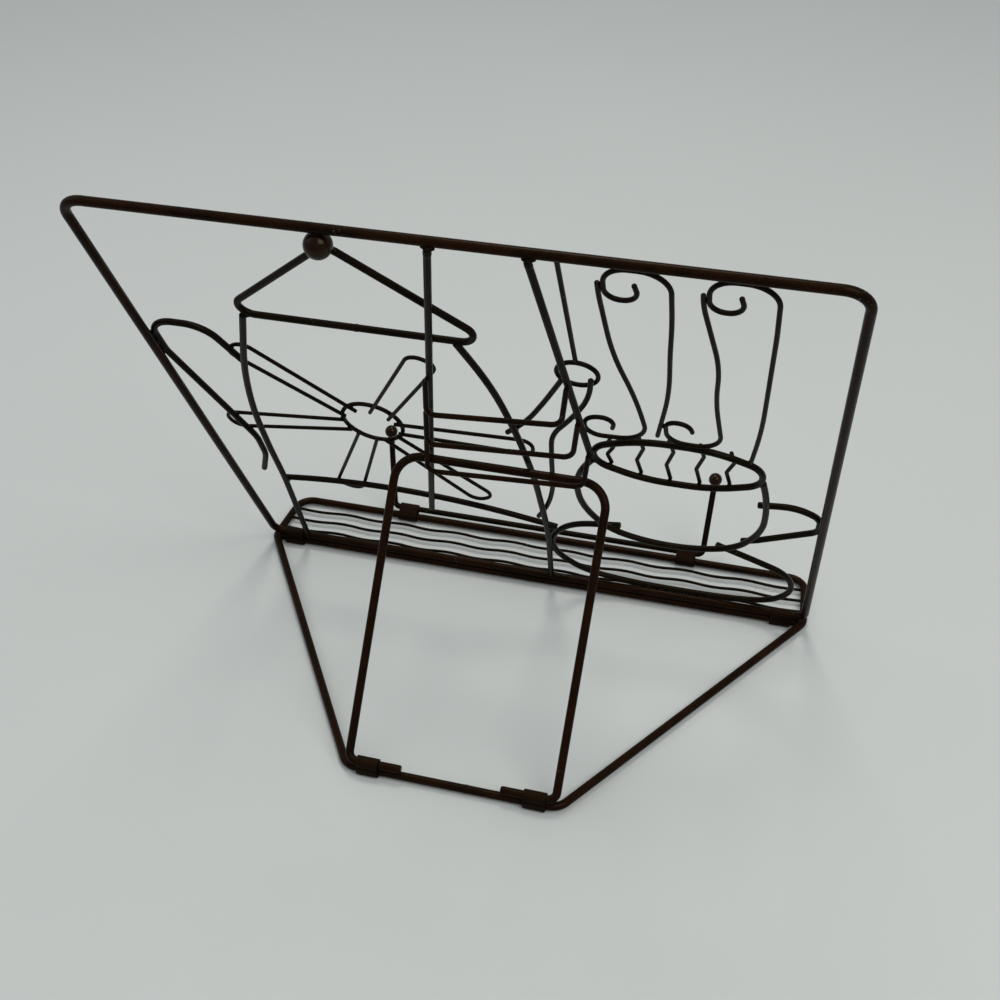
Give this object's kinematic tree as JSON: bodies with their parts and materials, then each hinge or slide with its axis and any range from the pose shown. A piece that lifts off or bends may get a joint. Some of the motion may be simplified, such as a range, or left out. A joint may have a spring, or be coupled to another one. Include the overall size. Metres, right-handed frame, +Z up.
{
  "type": "cookbook stand",
  "caption": "Folding cookbook stand of welded wire: a hinged panel with a teapot and steaming cup drawn in wire, a prop strut, a book ledge and a tilting page holder.",
  "frame": {"origin": "on the table, below the middle of the panel's hinge line", "axes": "+X to the reader's right along the hinge line, +Y away from the reader towards the rear bar, +Z up"},
  "size_m": [0.299, 0.2098, 0.2738],
  "materials": {
    "bronze_paint": "satin dark bronze paint",
    "dark_paint": "satin dark bronze paint, nearly black in shade",
    "strap_sheet": "dull painted sheet",
    "ball_paint": "smooth painted ball"
  },
  "bodies": {
    "base": {"base_frame": "bronze_paint", "base_cross_bar": "bronze_paint", "ledge_slat_front": "dark_paint", "ledge_slat_middle": "dark_paint", "ledge_slat_rear": "dark_paint", "hinge_strap_left": "strap_sheet", "hinge_strap_right": "strap_sheet", "strut_strap_left": "strap_sheet", "strut_strap_right": "strap_sheet", "page_strap_left": "strap_sheet", "page_strap_right": "strap_sheet"},
    "panel": {"panel_frame": "bronze_paint", "ladder_left": "dark_paint", "ladder_right": "dark_paint", "rung_bottom": "bronze_paint", "rung_middle": "bronze_paint", "rung_top": "bronze_paint", "pot_lid": "dark_paint", "lid_knob": "ball_paint", "pot_side_handle": "dark_paint", "pot_side_spout": "dark_paint", "pot_band": "dark_paint", "pot_handle": "dark_paint", "spout_top_wire": "dark_paint", "spout_bottom_wire": "dark_paint", "spout_lip": "dark_paint", "spout_stay": "dark_paint", "flower_ring": "dark_paint", "petal_1": "dark_paint", "petal_2": "dark_paint", "petal_3": "dark_paint", "petal_4": "dark_paint", "petal_5": "dark_paint", "petal_6": "dark_paint", "cup_rim": "dark_paint", "cup_bowl": "dark_paint", "cup_handle": "dark_paint", "saucer": "dark_paint", "cup_wave_1": "dark_paint", "cup_wave_2": "dark_paint", "cup_wave_3": "dark_paint", "cup_wave_4": "dark_paint", "cup_wave_5": "dark_paint", "steam_left_crook": "dark_paint", "steam_left_tail": "dark_paint", "steam_right_crook": "dark_paint", "steam_right_tail": "dark_paint"},
    "prop_strut": {"prop_strut": "bronze_paint"},
    "page_holder": {"page_holder": "dark_paint", "page_ball_left": "ball_paint", "page_ball_right": "ball_paint"}
  },
  "joints": [
    {"name": "panel_hinge", "type": "hinge", "parent": "base", "child": "panel", "pos_m": [0, 0, 0.00718], "axis": [1, 0, 0], "range_deg": [0, 27]},
    {"name": "strut_hinge", "type": "hinge", "parent": "base", "child": "prop_strut", "pos_m": [0, 0.15, 0.00718], "axis": [1, 0, 0], "range_deg": [0, 54]},
    {"name": "page_hinge", "type": "hinge", "parent": "base", "child": "page_holder", "pos_m": [0, -0.03825, 0.00613], "axis": [1, 0, 0], "range_deg": [-50, 65]}
  ],
  "couplings": [
    {"joint": "strut_hinge", "follows": "panel_hinge", "ratio": 2}
  ]
}
